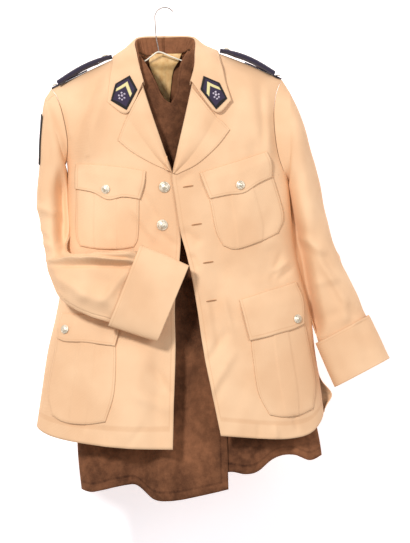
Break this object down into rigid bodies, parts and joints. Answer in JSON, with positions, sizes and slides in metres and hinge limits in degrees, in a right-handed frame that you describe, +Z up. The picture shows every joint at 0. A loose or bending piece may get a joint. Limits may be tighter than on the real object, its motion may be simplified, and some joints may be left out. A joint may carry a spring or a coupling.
{
  "type": "officer uniform on a wire hanger",
  "caption": "Officer's beige tunic, worn open, with a brown wool coat inside it, hanging on a wire hanger; one sleeve is folded across the waist.",
  "frame": {"origin": "top of the hanger's hook, where it hangs on a rail", "axes": "+X to the right as seen from the front, +Y to the back, +Z up"},
  "size_m": [0.6747, 0.1955, 0.943],
  "materials": {
    "tunic_cloth": "smooth twill, light warm beige, matt with a faint sheen",
    "coat_wool": "napped dark brown wool serge",
    "lining_satin": "gold satin lining",
    "navy_cloth": "dark navy felt and braid",
    "button_metal": "silver-coloured domed buttons, lightly worn",
    "hanger_wire": "cream coated steel wire"
  },
  "bodies": {
    "root": {"tunic_front_left": "tunic_cloth", "tunic_front_right": "tunic_cloth", "tunic_back": "tunic_cloth", "collar": "tunic_cloth", "lapel_left": "tunic_cloth", "lapel_right": "tunic_cloth", "sleeve_left_top": "tunic_cloth", "sleeve_left_under": "tunic_cloth", "sleeve_right_top": "tunic_cloth", "sleeve_right_under": "tunic_cloth", "cuff_left": "tunic_cloth", "cuff_right": "tunic_cloth", "chest_pocket_left": "tunic_cloth", "chest_pocket_right": "tunic_cloth", "hip_pocket_left": "tunic_cloth", "hip_pocket_right": "tunic_cloth", "chest_flap_left": "tunic_cloth", "chest_flap_right": "tunic_cloth", "hip_flap_left": "tunic_cloth", "hip_flap_right": "tunic_cloth", "front_button_1": "button_metal", "front_button_2": "button_metal", "front_button_3": "button_metal", "front_button_4": "button_metal", "chest_button_left": "button_metal", "chest_button_right": "button_metal", "hip_button_left": "button_metal", "hip_button_right": "button_metal", "board_button_left": "button_metal", "board_button_right": "button_metal", "shoulder_board_left": "navy_cloth", "shoulder_loop_left": "navy_cloth", "shoulder_board_right": "navy_cloth", "shoulder_loop_right": "navy_cloth", "collar_patch_left": "navy_cloth", "collar_patch_right": "navy_cloth", "sleeve_badge": "navy_cloth", "coat_front_left": "coat_wool", "coat_front_right": "coat_wool", "coat_back": "coat_wool", "coat_collar": "coat_wool", "coat_lining": "lining_satin", "hanger": "hanger_wire"}
  },
  "joints": []
}
